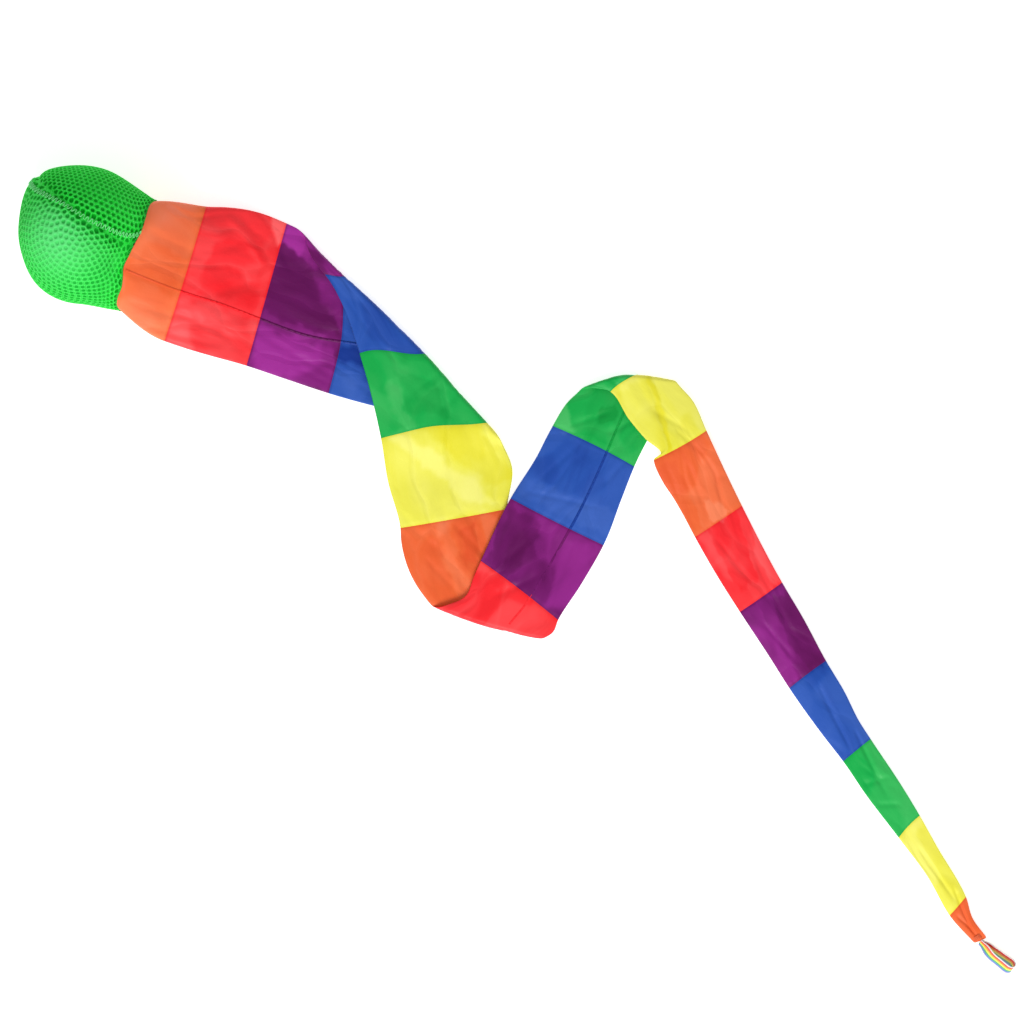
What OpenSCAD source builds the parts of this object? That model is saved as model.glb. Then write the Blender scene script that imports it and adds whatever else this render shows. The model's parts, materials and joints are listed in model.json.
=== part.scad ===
// Comet ball: a soft ball in an air-mesh cover, with a tapered fabric tube for a tail and a
// ribbon loop at its tip. The tail is laid on a table in three folds.
// The ball stands on the origin, +X runs towards the tip and +Z is up.

/* [Ball] */
// Outer diameter of the ball with its mesh cover
ball_d = 92; // [84:1:100]
// Thickness of the mesh cover
cover_t = 3.5; // [2:0.5:5]
// Wall of the hollow rubber ball inside the cover
core_wall = 3; // [2:0.5:6]
// Distance from the ball's centre to the mouth of the cover
mouth_reach = 38; // [35:1:40]
// Width of the mouth
mouth_w = 77; // [70:1:82]
// Height of the mouth
mouth_h = 48; // [42:1:50]
// Distance of the seam between the two mesh panels from the ball's centre
seam_offset = 20; // [12:0.1:24]
// Lean of that seam's plane towards the top, in degrees
seam_lean = 12.3; // [0:0.1:20]
// Turn of that seam's plane about the vertical, in degrees
seam_turn = 9; // [0:0.5:15]

/* [Tail] */
// Flat width of the tail at the mouth
tail_w = 101; // [90:1:106]
// Flat width of the tail at its tip
tip_w = 14; // [12:1:20]
// Length of one colour band
band_len = 58.6; // [57:0.1:60]
// Laid length of the first band, which slopes steeply down from the mouth
first_len = 34; // [32:0.5:36]
// Height of one flat layer of the tube, with the air in it
layer_t = 4; // [3:0.1:4.2]
// Air between two layers where the tail is folded over itself
layer_gap = 0.9; // [0.8:0.1:1.2]
// Height of the tube at the end of the first band
neck_h = 22; // [18:1:26]
// Wall of the open tube near the mouth
tube_wall = 1.2; // [0.8:0.1:2]
// Place of the lengthwise seam, from -1 to 1 across the half width
seam_place = -0.3; // [-0.5:0.05:0.5]
// Share of the width that the last stretch keeps, because the cloth bunches there
last_slim = 0.87; // [0.8:0.01:1]

/* [Loop] */
// Width of the striped ribbon
ribbon_w = 8; // [7:0.5:9]
// Thickness of the ribbon
ribbon_t = 0.8; // [0.6:0.1:1.2]
// Length of the loop
loop_len = 27; // [24:1:32]
// Inner width of the loop's eye
eye_w = 7.2; // [6.8:0.1:9]
// Direction of the loop, in degrees from +X
loop_heading = -32; // [-40:1:-25]

/* [Hidden] */
// Ball centre, the three folds and the tip, on the tail's centre line
path = [[0, 0], [217, -71], [269, -259], [367, -96], [596, -470]];
// Length lost to puckers by the bands that lie on or beside a fold
soft_pucker = 5.5;
tight_pucker = 10;
bands = 19;
orange = [0.95, 0.44, 0.24];
red = [0.98, 0.23, 0.24];
purple = [0.45, 0.10, 0.43];
blue = [0.20, 0.36, 0.73];
green = [0.18, 0.71, 0.31];
yellow = [0.93, 0.92, 0.33];
mesh_green = [0.05, 0.75, 0.20];
thread_green = [0.60, 0.85, 0.62];
// Half the gap between two bands, and half the gap at a fold
end_gap = 0.15;
fold_gap = 0.3;
// Length kept free where a ramp meets the table
ramp_slack = 0.5;
// Gap between the core and its cover, and half the gap between the two panels
core_gap = 0.4;
panel_gap = 0.2;
// Length of the cover's straight lip at the mouth
lip_len = 1;
thread_r = 0.8;
thread_gap = 0.1;
// Angle that the thread between the panels runs over, from one side of the mouth to the other
thread_sweep = 190;
mouth_ring_len = 1.5;
// Width and height of the open tube where its first two bands meet, and its height at the second's end
neck_w = tail_w - 6;
second_h = layer_t + 2;
// The lengthwise seam's ridge, the play in its groove and its height over the table
seam_w = 1.6;
seam_t = 0.5;
seam_play = 0.1;
seam_z = 0.05;
// The bar of stitches at the tip
tack_len = 3;
tack_w = tip_w * 2 / 3;
tack_h = 3;
tack_z = 0.5;
// Length over which the loop's ribbon widens from the tack
ribbon_neck = 7;
// Depth by which a cut runs past a face
past = 1;
ring_points = 24;
tube_steps = 4;
facets = 36;
big = 600;
rise = layer_t + layer_gap;

function leg(g) = path[g + 1] - path[g];
function heading(g) = atan2(leg(g)[1], leg(g)[0]);
function start(g) = g == 0 ? -mouth_reach : start(g - 1) + norm(leg(g - 1));
function half_turn(j) = abs((heading(j) - heading(j - 1) + 540) % 360 - 180) / 2;
function pucker(k) =
    k >= 3 && k <= 5 || k == 11 || k == 12 ? soft_pucker : k == 8 || k == 9 ? tight_pucker : 0;
function band_end(k) =
    k == 0 ? 0 :
    k == bands ? start(4) - tack_len :
    band_end(k - 1) + (k == 1 ? first_len : band_len - pucker(k));
function half_w(s, g) = (tail_w + (tip_w - tail_w) * s / start(4)) / 2 * (g == 3 ? last_slim : 1);
// The band after which a stretch of tail comes down from the layer below it
function last_raised(g) = g == 1 ? 5 : g == 2 ? 9 : g == 3 ? 12 : 0;

// Ellipse ring across the tube at distance s: width, height, height of its centre
function ring(s, w, h, z) =
    [for (i = [0 : ring_points - 1])
        let (a = 360 * i / ring_points) [s, w / 2 * cos(a), z + h / 2 * sin(a)]];

// Puts children, drawn in the cloth's own frame (length, side, height), on stretch g of the tail.
// The cloth turns over at each fold, so every other stretch is mirrored.
module on_stretch(g) {
    translate([path[g][0], path[g][1], 0])
        rotate(heading(g))
            mirror([0, g % 2, 0])
                translate([-start(g), 0, 0])
                    children();
}

// Children in the ball's frame: its centre, with +X along the neck
module in_ball() {
    translate([0, 0, ball_d / 2]) rotate(heading(0)) children();
}

// The half plane before fold j in the cloth's frame, and the one after it
module before_fold(j) {
    translate([start(j), 0]) rotate(-half_turn(j)) translate([-big, -big - fold_gap])
        square([2 * big, big]);
}
module after_fold(j) {
    translate([start(j), 0]) rotate(-half_turn(j)) translate([-big, fold_gap])
        square([2 * big, big]);
}

module between_folds(g) {
    intersection() {
        children();
        if (g > 0) after_fold(g); else square(4 * big, center = true);
        if (g < 3) before_fold(g + 1); else square(4 * big, center = true);
    }
}

// Children raised over the layer below, on the ramp down from it, or flat on the table
module at_level(k, g) {
    tilt = asin(rise / (band_len - pucker(k)));
    if (g > 0 && k <= last_raised(g)) {
        translate([0, 0, rise]) children();
    } else if (g > 0 && k == last_raised(g) + 1) {
        translate([band_end(k) - ramp_slack, 0, 0]) rotate([0, tilt, 0])
            translate([-band_end(k) + ramp_slack, 0, 0]) children();
    } else {
        children();
    }
}

// Outline of a strip from side u0 to side u1 of the half width, over band k on stretch g
module strip_outline(k, g, from, to, spare = 0) {
    a = band_end(k - 1) + end_gap;
    b = band_end(k) - end_gap - (g > 0 && k == last_raised(g) + 1 ? ramp_slack : 0);
    between_folds(g) polygon([
        [a, from * half_w(a, g) - spare], [b, from * half_w(b, g) - spare],
        [b, to * half_w(b, g) + spare], [a, to * half_w(a, g) + spare]
    ]);
}

module seam_outline(k, g, spare = 0) {
    strip_outline(k, g, seam_place, seam_place, seam_w / 2 + spare);
}

// One flat band of the tube, with the groove that its lengthwise seam lies in
module flat_band(k, g, c) {
    groove_z = g % 2 == 0 ? layer_t - seam_t - seam_play : -past;
    color(c) on_stretch(g) at_level(k, g) difference() {
        linear_extrude(layer_t) strip_outline(k, g, -1, 1);
        translate([0, 0, groove_z])
            linear_extrude(seam_t + seam_play + past) seam_outline(k, g, seam_play);
    }
}

// The lengthwise seam's raised ridge along bands first to last of stretch g
module seam_ridge(g, first, last, c) {
    z = g % 2 == 0 ? layer_t - seam_t : seam_z;
    color(c) on_stretch(g) for (k = [first : last])
        at_level(k, g) translate([0, 0, z]) linear_extrude(seam_t - seam_z) seam_outline(k, g);
}

// A closed solid through a list of rings with the same number of points
module loft(rings) {
    n = len(rings[0]);
    m = len(rings);
    polyhedron(
        [for (r = rings) each r],
        [
            [for (i = [0 : n - 1]) i],
            for (j = [0 : m - 2], i = [0 : n - 1], half = [0, 1])
                let (a = j * n + i, b = j * n + (i + 1) % n)
                    half == 0 ? [a, a + n, b + n] : [a, b + n, b],
            [for (i = [n - 1 : -1 : 0]) (m - 1) * n + i]
        ]
    );
}

// An open tube: width, height and centre height change evenly from one end to the other
module open_tube(from, to, ends) {
    over = past / (to - from);
    function mix(t, i) = ends[0][i] + (ends[1][i] - ends[0][i]) * t;
    function shape(t, wall) = ring(from + (to - from) * t, mix(t, 0) - wall, mix(t, 1) - wall, mix(t, 2));
    difference() {
        loft([for (i = [0 : tube_steps]) shape(i / tube_steps, 0)]);
        loft([for (i = [0 : tube_steps]) shape((1 + 2 * over) * i / tube_steps - over, 2 * tube_wall)]);
    }
}

// The mouth's ellipse, drawn in the plane across the neck and extruded along it
module mouth_plug(from, to, inset) {
    translate([from, 0, 0]) rotate([90, 0, 90]) linear_extrude(to - from) mouth_outline(inset);
}

module mouth_outline(inset) {
    polygon([for (i = [0 : facets - 1]) let (a = 360 * i / facets)
        [(mouth_w / 2 - inset) * cos(a), (mouth_h / 2 - inset) * sin(a)]]);
}

// The cover's outside: the ball drawn out sideways to the mouth
module cover_shape(inset) {
    hull() {
        sphere(d = ball_d - 2 * inset, $fn = facets);
        mouth_plug(mouth_reach - lip_len, mouth_reach, inset);
    }
}

module cover_shell() {
    difference() {
        cover_shape(0);
        cover_shape(cover_t);
        translate([mouth_reach, -ball_d, -ball_d]) cube(2 * ball_d);
        mouth_plug(mouth_reach - cover_t, mouth_reach + cover_t, cover_t);
    }
}

// The space on the small panel's side of the seam plane
module small_side(gap) {
    rotate([seam_lean, 0, -seam_turn]) translate([-1.5 * ball_d, seam_offset + gap, -1.5 * ball_d])
        cube(3 * ball_d);
}

module core_ball() {
    core_r = ball_d / 2 - cover_t - core_gap;
    color("slategray") in_ball() difference() {
        sphere(r = core_r);
        sphere(r = core_r - core_wall);
    }
}

module cover_panel_large() {
    color(mesh_green) in_ball() difference() {
        cover_shell();
        small_side(-panel_gap);
    }
}

module cover_panel_small() {
    color(mesh_green) in_ball() intersection() {
        cover_shell();
        small_side(panel_gap);
    }
}

// The zigzag thread that closes the valley between the two panels
module cover_seam_thread() {
    reach = ball_d / 2 + thread_r + thread_gap;
    valley_r = sqrt(reach * reach - seam_offset * seam_offset);
    color(thread_green) in_ball() rotate([seam_lean, 0, -seam_turn]) translate([0, seam_offset, 0])
        rotate([90, 180 + thread_sweep / 2, 0]) rotate_extrude(angle = thread_sweep, $fn = 96)
            translate([valley_r, 0]) circle(thread_r, $fn = 16);
}

// The stitching that joins the mouth of the cover to the first band
module mouth_seam_thread() {
    color(thread_green) in_ball() difference() {
        mouth_plug(mouth_reach + end_gap, mouth_reach + mouth_ring_len - end_gap, 0);
        mouth_plug(mouth_reach, mouth_reach + mouth_ring_len, tube_wall);
    }
}

module band_01_orange() {
    color(orange) on_stretch(0) open_tube(mouth_ring_len, band_end(1) - fold_gap,
        [[mouth_w, mouth_h, ball_d / 2], [neck_w, neck_h, neck_h / 2]]);
}

module band_02_red() {
    color(red) on_stretch(0) open_tube(band_end(1) + fold_gap, band_end(2) - end_gap,
        [[neck_w, neck_h, neck_h / 2], [2 * half_w(band_end(2), 0), second_h, second_h / 2]]);
}

// The bar of stitches that closes the tip and holds the loop
module tip_tack() {
    color(thread_green) on_stretch(3)
        translate([band_end(bands) + end_gap, -tack_w / 2, tack_z])
            cube([tack_len - 2 * end_gap, tack_w, tack_h]);
}

// Teardrop outline of the folded ribbon, with its point at the tack; r is the radius of its far end
module teardrop(r) {
    waist = 0.85 * r;
    waist_x = eye_w + 1;
    point_x = r - eye_w / 2;
    point_r = point_x + 0.6;
    hull() {
        translate([loop_len - eye_w / 2 - ribbon_t, 0]) circle(r, $fn = 48);
        translate([waist_x, 0]) circle(waist, $fn = 48);
        translate([point_x, 0]) circle(point_r, $fn = 24);
    }
}

module loop_ribbon() {
    low = ribbon_w / 2 - tack_h / 2;
    color(orange) translate([path[4][0], path[4][1], 0]) rotate(loop_heading)
        translate([fold_gap + ribbon_t, 0, 0]) intersection() {
            linear_extrude(ribbon_w) difference() {
                teardrop(eye_w / 2 + ribbon_t);
                teardrop(eye_w / 2);
            }
            rotate([90, 0, 0]) linear_extrude(4 * eye_w, center = true) polygon([
                [0, low], [ribbon_neck, 0], [loop_len, 0], [loop_len, ribbon_w], [ribbon_neck, ribbon_w],
                [0, ribbon_w - low]
            ]);
        }
}

core_ball();
cover_panel_large();
cover_panel_small();
cover_seam_thread();
mouth_seam_thread();
band_01_orange();
band_02_red();
flat_band(3, 0, purple);  // band_03a_purple
flat_band(4, 0, blue);  // band_04a_blue
flat_band(5, 0, green);  // band_05a_green
seam_ridge(0, 3, 5, purple);  // tail_seam_a
flat_band(3, 1, purple);  // band_03b_purple
flat_band(4, 1, blue);  // band_04b_blue
flat_band(5, 1, green);  // band_05b_green
flat_band(6, 1, yellow);  // band_06_yellow
flat_band(7, 1, orange);  // band_07_orange
flat_band(8, 1, red);  // band_08b_red
seam_ridge(1, 4, 8, yellow);  // tail_seam_b
flat_band(8, 2, red);  // band_08c_red
flat_band(9, 2, purple);  // band_09_purple
flat_band(10, 2, blue);  // band_10_blue
flat_band(11, 2, green);  // band_11c_green
flat_band(12, 2, yellow);  // band_12c_yellow
seam_ridge(2, 8, 11, blue);  // tail_seam_c
flat_band(11, 3, green);  // band_11d_green
flat_band(12, 3, yellow);  // band_12d_yellow
flat_band(13, 3, orange);  // band_13_orange
flat_band(14, 3, red);  // band_14_red
flat_band(15, 3, purple);  // band_15_purple
flat_band(16, 3, blue);  // band_16_blue
flat_band(17, 3, green);  // band_17_green
flat_band(18, 3, yellow);  // band_18_yellow
flat_band(19, 3, orange);  // band_19_orange
seam_ridge(3, 12, 19, red);  // tail_seam_d
tip_tack();
loop_ribbon();
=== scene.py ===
"""A comet ball: a soft ball in green air mesh with a tapered rainbow tail of thin taffeta, laid in a zigzag.

Lengths in this script are in millimetres until a mesh is made, and the row frame is in metres."""

import json
import math

import bmesh
import bpy
import numpy as np
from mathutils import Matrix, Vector, noise


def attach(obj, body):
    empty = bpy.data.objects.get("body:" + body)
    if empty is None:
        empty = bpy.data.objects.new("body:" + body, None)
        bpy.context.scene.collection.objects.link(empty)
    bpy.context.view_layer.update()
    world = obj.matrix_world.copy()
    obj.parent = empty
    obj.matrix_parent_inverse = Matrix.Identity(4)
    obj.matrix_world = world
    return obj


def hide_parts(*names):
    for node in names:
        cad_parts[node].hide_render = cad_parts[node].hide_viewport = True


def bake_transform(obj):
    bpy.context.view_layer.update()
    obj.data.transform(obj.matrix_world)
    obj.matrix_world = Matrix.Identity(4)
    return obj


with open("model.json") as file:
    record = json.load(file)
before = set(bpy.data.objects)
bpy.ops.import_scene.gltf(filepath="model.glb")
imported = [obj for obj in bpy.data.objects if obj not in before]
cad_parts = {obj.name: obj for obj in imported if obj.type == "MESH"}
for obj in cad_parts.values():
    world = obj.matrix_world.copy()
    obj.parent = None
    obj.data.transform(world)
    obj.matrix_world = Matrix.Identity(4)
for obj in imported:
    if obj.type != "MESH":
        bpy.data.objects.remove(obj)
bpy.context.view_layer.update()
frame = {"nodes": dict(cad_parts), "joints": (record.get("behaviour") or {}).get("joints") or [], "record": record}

MM = 0.001
joints = {j["name"]: j for j in frame["joints"]}


def millimetres(point):
    return np.array(point, float) / MM


# ---------------------------------------------------------------- sizes

BALL_R = 46.0
BALL_CENTRE = np.array([0.0, 0.0, BALL_R])
MOUTH_REACH = 38.0
MOUTH_W, MOUTH_H = 77.0, 58.0
# The plane of the cover's seam, fitted by a script to seven points read off the photo
SEAM_OFFSET = 20.0
SEAM_LEAN = math.radians(12.3)
SEAM_TURN = math.radians(9.0)
# How far the mouth's upper edge is drawn back over the ball, by its place across the neck from right to left,
# worked out from places read off the photo
MOUTH_BOW = [
    (-1, 2.0), (-0.93, 3.4), (-0.8, 4.2), (-0.62, 3.6), (-0.45, 4.8), (-0.27, 6.6), (-0.1, 5.7), (0.15, 4.4),
    (0.42, 2.7), (0.65, 2.9), (0.88, 3.2), (1, 2.0),
]
CORE_R = 42.1

TAIL_W, TIP_W = 101.0, 14.0
BANDS = 19
BAND_LEN, FIRST_LEN, TACK_LEN = 58.6, 34.0, 3.0
SOFT_PUCKER, TIGHT_PUCKER = 5.5, 10.0
NECK_W, NECK_H = 95.0, 22.0
LAST_SLIM = 0.87
SEAM_PLACE = -0.3

PATH = [BALL_CENTRE[:2]] + [
    millimetres(joints[name]["pos_m"])[:2]
    for name in ("fold_first", "fold_second", "fold_third", "loop_flip")
]
FOLD_Z = millimetres(joints["fold_first"]["pos_m"])[2]
TUBE_H = 4.0
LOW_MID = TUBE_H / 2 + 0.15
HIGH_MID = 2 * FOLD_Z - LOW_MID

LEGS = [PATH[g + 1] - PATH[g] for g in range(4)]
HEAD = [leg / np.linalg.norm(leg) for leg in LEGS]
FLIP = [1, -1, 1, -1]
SIDE = [f * np.array([-h[1], h[0]]) for h, f in zip(HEAD, FLIP)]
START = [-MOUTH_REACH]
for leg in LEGS:
    START.append(START[-1] + np.linalg.norm(leg))
TIP_S = START[4]


def half_turn(j):
    """Half the angle by which the tail turns at fold j, as the crease's slant to the cloth."""
    cosine = float(np.clip(HEAD[j - 1] @ HEAD[j], -1, 1))
    return math.acos(cosine) / 2


def pucker(k):
    if k in (3, 4, 5, 11, 12):
        return SOFT_PUCKER
    return TIGHT_PUCKER if k in (8, 9) else 0.0


BAND_END = [0.0, FIRST_LEN]
for k in range(2, BANDS):
    BAND_END.append(BAND_END[-1] + BAND_LEN - pucker(k))
BAND_END.append(TIP_S - TACK_LEN)

COLOURS = ["orange", "red", "purple", "blue", "green", "yellow"]


def colour_of(k):
    return COLOURS[(k - 1) % 6]


def smooth(x):
    x = np.clip(x, 0.0, 1.0)
    return x * x * (3 - 2 * x)


# ---------------------------------------------------------------- materials


def nodes_of(name):
    m = bpy.data.materials.new(name)
    m.use_nodes = True
    tree = m.node_tree
    return m, tree, tree.nodes["Principled BSDF"]


def add(tree, kind, **values):
    node = tree.nodes.new(kind)
    for key, value in values.items():
        if key in node.inputs.keys():
            node.inputs[key].default_value = value
        else:
            setattr(node, key, value)
    return node


def link(tree, a, out, b, into):
    tree.links.new(a.outputs[out], b.inputs[into])


def mix_colour(tree, factor, a, b, blend="MIX"):
    """A colour mix node; factor, a and b are each a value or an output socket."""
    node = add(tree, "ShaderNodeMix", data_type="RGBA", blend_type=blend)
    for socket, value in ((node.inputs[0], factor), (node.inputs[6], a), (node.inputs[7], b)):
        if isinstance(value, bpy.types.NodeSocket):
            tree.links.new(value, socket)
        else:
            socket.default_value = value if isinstance(value, float) else (*value[:3], 1.0)
    return node.outputs[2]


def ramp(tree, source, low, high):
    node = add(tree, "ShaderNodeMapRange")
    node.inputs["From Min"].default_value = low
    node.inputs["From Max"].default_value = high
    tree.links.new(source, node.inputs["Value"])
    return node.outputs["Result"]


def scaled_noise(tree, coordinates, scale, detail=3.0, stretch=(1, 1, 1), roughness=0.5):
    mapping = add(tree, "ShaderNodeMapping")
    mapping.inputs["Scale"].default_value = stretch
    tree.links.new(coordinates, mapping.inputs["Vector"])
    node = add(tree, "ShaderNodeTexNoise", Scale=scale, Detail=detail, Roughness=roughness)
    link(tree, mapping, "Vector", node, "Vector")
    return node.outputs["Fac"]


def crease_lines(tree, cloth):
    """Height of the fine crease lines that crossed while the cloth was crumpled, low along each line. It also
    places a painted highlight along the lines.
    """
    bend = add(tree, "ShaderNodeTexNoise", Scale=16.0, Detail=3.0)
    tree.links.new(cloth, bend.inputs["Vector"])
    bent = add(tree, "ShaderNodeMix", data_type="VECTOR")
    bent.inputs[0].default_value = 0.025
    tree.links.new(cloth, bent.inputs[4])
    link(tree, bend, "Color", bent, 5)
    stretch = add(tree, "ShaderNodeMapping")
    stretch.inputs["Scale"].default_value = (0.45, 1.1, 1.0)
    tree.links.new(bent.outputs[1], stretch.inputs["Vector"])
    cells = add(tree, "ShaderNodeTexVoronoi", feature="DISTANCE_TO_EDGE", Scale=34.0)
    link(tree, stretch, "Vector", cells, "Vector")
    return ramp(tree, cells.outputs["Distance"], 0.0, 0.11)


def taffeta(name, base, light, dark):
    """Thin taffeta. The attribute cloth is the place on the flat cloth; look holds the painted light and shade of
    its facets, and the hem. Crease lines get a painted highlight.
    """
    m, t, p = nodes_of(name)
    cloth = add(t, "ShaderNodeAttribute", attribute_name="cloth").outputs["Vector"]
    look = add(t, "ShaderNodeSeparateXYZ")
    t.links.new(add(t, "ShaderNodeAttribute", attribute_name="look").outputs["Vector"], look.inputs[0])
    broad = scaled_noise(t, cloth, 24.0, 2.0, (1, 1.6, 1))
    streak = scaled_noise(t, cloth, 60.0, 4.0, (0.22, 1.6, 1), 0.6)
    colour = mix_colour(t, ramp(t, broad, 0.48, 1.1), base, light)
    colour = mix_colour(t, ramp(t, streak, 0.55, 0.95), colour, dark)
    # painted highlight: the colour is lighter along the fine crease lines
    colour = mix_colour(t, ramp(t, crease_lines(t, cloth), 0.7, -3.0), colour, light)
    # painted light where the first value of look is above 0, painted shade where it is below
    colour = mix_colour(t, ramp(t, look.outputs["X"], 0.0, 1.0), colour, light)
    colour = mix_colour(t, ramp(t, look.outputs["X"], 0.0, -1.0), colour, dark)
    colour = mix_colour(t, ramp(t, look.outputs["Y"], 0.2, 1.6), colour, dark)
    t.links.new(colour, p.inputs["Base Color"])
    t.links.new(ramp(t, streak, -0.9, 2.2), p.inputs["Roughness"])
    weave_x = add(t, "ShaderNodeTexWave", Scale=480.0, bands_direction="X")
    weave_y = add(t, "ShaderNodeTexWave", Scale=480.0, bands_direction="Y")
    t.links.new(cloth, weave_x.inputs["Vector"])
    t.links.new(cloth, weave_y.inputs["Vector"])
    weave = add(t, "ShaderNodeMath", operation="ADD")
    link(t, weave_x, "Fac", weave, 0)
    link(t, weave_y, "Fac", weave, 1)
    crumple = scaled_noise(t, cloth, 75.0, 5.0, (0.6, 1, 1), 0.55)
    bump_weave = add(t, "ShaderNodeBump", Strength=0.12, Distance=0.00008)
    bump_crumple = add(t, "ShaderNodeBump", Strength=0.5, Distance=0.0012)
    bump_crease = add(t, "ShaderNodeBump", Strength=0.45, Distance=0.0010)
    link(t, weave, 0, bump_weave, "Height")
    t.links.new(crumple, bump_crumple.inputs["Height"])
    t.links.new(crease_lines(t, cloth), bump_crease.inputs["Height"])
    link(t, bump_weave, "Normal", bump_crumple, "Normal")
    link(t, bump_crumple, "Normal", bump_crease, "Normal")
    link(t, bump_crease, "Normal", p, "Normal")
    p.inputs["Sheen Weight"].default_value = 0.04
    p.inputs["Sheen Roughness"].default_value = 0.35
    p.inputs["Specular IOR Level"].default_value = 0.16
    return m


def mesh_cloth(name):
    """Knitted air mesh. One attribute darkens the holes, from 0 on ridges to 1 in holes: partly the darker inner
    layer, partly painted shade in the holes and on the shaded side of the ring panel. The attribute shine is a
    painted sheen where the cloth lies loose, strongest round one direction near the top.
    """
    m, t, p = nodes_of(name)
    hole_shade = add(t, "ShaderNodeAttribute", attribute_name="hole_shade").outputs["Fac"]
    shine = add(t, "ShaderNodeAttribute", attribute_name="shine").outputs["Fac"]
    place = add(t, "ShaderNodeTexCoord").outputs["Object"]
    broad = scaled_noise(t, place, 45.0, 3.0)
    yarn = scaled_noise(t, place, 1600.0, 3.0)
    ridge = mix_colour(t, ramp(t, broad, 0.3, 0.7), (0.0, 0.60, 0.014), (0.0, 0.68, 0.022))
    # painted sheen: ridges lighter where shine is high
    ridge = mix_colour(t, shine, ridge, (0.11, 0.74, 0.19))
    ridge = mix_colour(t, ramp(t, yarn, 0.42, 1.0), ridge, (0.16, 0.86, 0.26))
    # holes lighter under the painted sheen too
    hole = mix_colour(t, shine, (0.0, 0.32, 0.012), (0.03, 0.54, 0.09))
    # holes darker: partly the darker inner layer, partly painted shade in the holes and on the shaded side
    colour = mix_colour(t, ramp(t, hole_shade, 0.1, 0.9), ridge, hole)
    t.links.new(colour, p.inputs["Base Color"])
    t.links.new(ramp(t, yarn, -1.6, 2.0), p.inputs["Roughness"])
    bump = add(t, "ShaderNodeBump", Strength=0.5, Distance=0.0002)
    t.links.new(yarn, bump.inputs["Height"])
    link(t, bump, "Normal", p, "Normal")
    p.inputs["Sheen Weight"].default_value = 0.01
    p.inputs["Specular IOR Level"].default_value = 0.06
    return m


def plain_yarn(name, base, light):
    m, t, p = nodes_of(name)
    place = add(t, "ShaderNodeTexCoord").outputs["Object"]
    ply = scaled_noise(t, place, 1500.0, 2.0)
    t.links.new(mix_colour(t, ramp(t, ply, 0.3, 0.7), base, light), p.inputs["Base Color"])
    bump = add(t, "ShaderNodeBump", Strength=0.4, Distance=0.0001)
    t.links.new(ply, bump.inputs["Height"])
    link(t, bump, "Normal", p, "Normal")
    p.inputs["Roughness"].default_value = 0.6
    return m


def rubber(name):
    m, t, p = nodes_of(name)
    place = add(t, "ShaderNodeTexCoord").outputs["Object"]
    grain = scaled_noise(t, place, 300.0, 4.0)
    t.links.new(mix_colour(t, grain, (0.05, 0.055, 0.06), (0.08, 0.085, 0.09)), p.inputs["Base Color"])
    t.links.new(ramp(t, grain, -0.6, 1.6), p.inputs["Roughness"])
    bump = add(t, "ShaderNodeBump", Strength=0.2, Distance=0.0002)
    t.links.new(grain, bump.inputs["Height"])
    link(t, bump, "Normal", p, "Normal")
    return m


def striped_ribbon(name):
    """Woven ribbon with lengthwise stripes. The attribute cloth holds (along, across from 0 to 1, 0)."""
    m, t, p = nodes_of(name)
    cloth = add(t, "ShaderNodeAttribute", attribute_name="cloth").outputs["Vector"]
    parts = add(t, "ShaderNodeSeparateXYZ")
    t.links.new(cloth, parts.inputs[0])
    stripes = add(t, "ShaderNodeValToRGB")
    stripes.color_ramp.interpolation = "CONSTANT"
    stops = [
        (0.0, (0.55, 0.50, 0.75)), (0.10, (0.12, 0.22, 0.60)), (0.24, (0.10, 0.48, 0.16)),
        (0.40, (0.88, 0.83, 0.10)), (0.56, (0.92, 0.32, 0.03)), (0.72, (0.85, 0.03, 0.04)),
        (0.90, (0.90, 0.88, 0.86)),
    ]
    while len(stripes.color_ramp.elements) < len(stops):
        stripes.color_ramp.elements.new(0.5)
    for element, (place, colour) in zip(stripes.color_ramp.elements, stops):
        element.position = place
        element.color = (*colour, 1.0)
    link(t, parts, "Y", stripes, "Fac")
    rib = add(t, "ShaderNodeTexWave", Scale=900.0, bands_direction="X")
    t.links.new(cloth, rib.inputs["Vector"])
    shade = mix_colour(t, 0.18, stripes.outputs["Color"], rib.outputs["Color"], "MULTIPLY")
    t.links.new(shade, p.inputs["Base Color"])
    bump = add(t, "ShaderNodeBump", Strength=0.35, Distance=0.0001)
    link(t, rib, "Fac", bump, "Height")
    link(t, bump, "Normal", p, "Normal")
    p.inputs["Roughness"].default_value = 0.5
    return m


MATERIAL = {
    "orange": taffeta("taffeta_orange", (0.83, 0.130, 0.032), (0.91, 0.22, 0.095), (0.72, 0.085, 0.02)),
    "red": taffeta("taffeta_red", (0.92, 0.024, 0.032), (0.97, 0.115, 0.12), (0.84, 0.006, 0.012)),
    "purple": taffeta("taffeta_purple", (0.150, 0.004, 0.120), (0.36, 0.024, 0.31), (0.105, 0.001, 0.078)),
    "blue": taffeta("taffeta_blue", (0.017, 0.082, 0.41), (0.05, 0.13, 0.50), (0.004, 0.035, 0.27)),
    "green": taffeta("taffeta_green", (0.005, 0.405, 0.068), (0.06, 0.50, 0.12), (0.001, 0.31, 0.045)),
    "yellow": taffeta("taffeta_yellow", (0.80, 0.77, 0.078), (0.90, 0.87, 0.20), (0.74, 0.68, 0.02)),
}
AIR_MESH = mesh_cloth("air_mesh")
THREAD = plain_yarn("seam_thread", (0.04, 0.66, 0.10), (0.26, 0.90, 0.36))
THREAD_MOUTH = plain_yarn("mouth_thread", (0.0, 0.34, 0.02), (0.03, 0.50, 0.07))
THREAD_ORANGE = plain_yarn("tip_thread", (0.80, 0.125, 0.032), (0.88, 0.20, 0.08))
RIBBON = striped_ribbon("striped_ribbon")
RUBBER = rubber("core_rubber")


# ---------------------------------------------------------------- meshes


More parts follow.
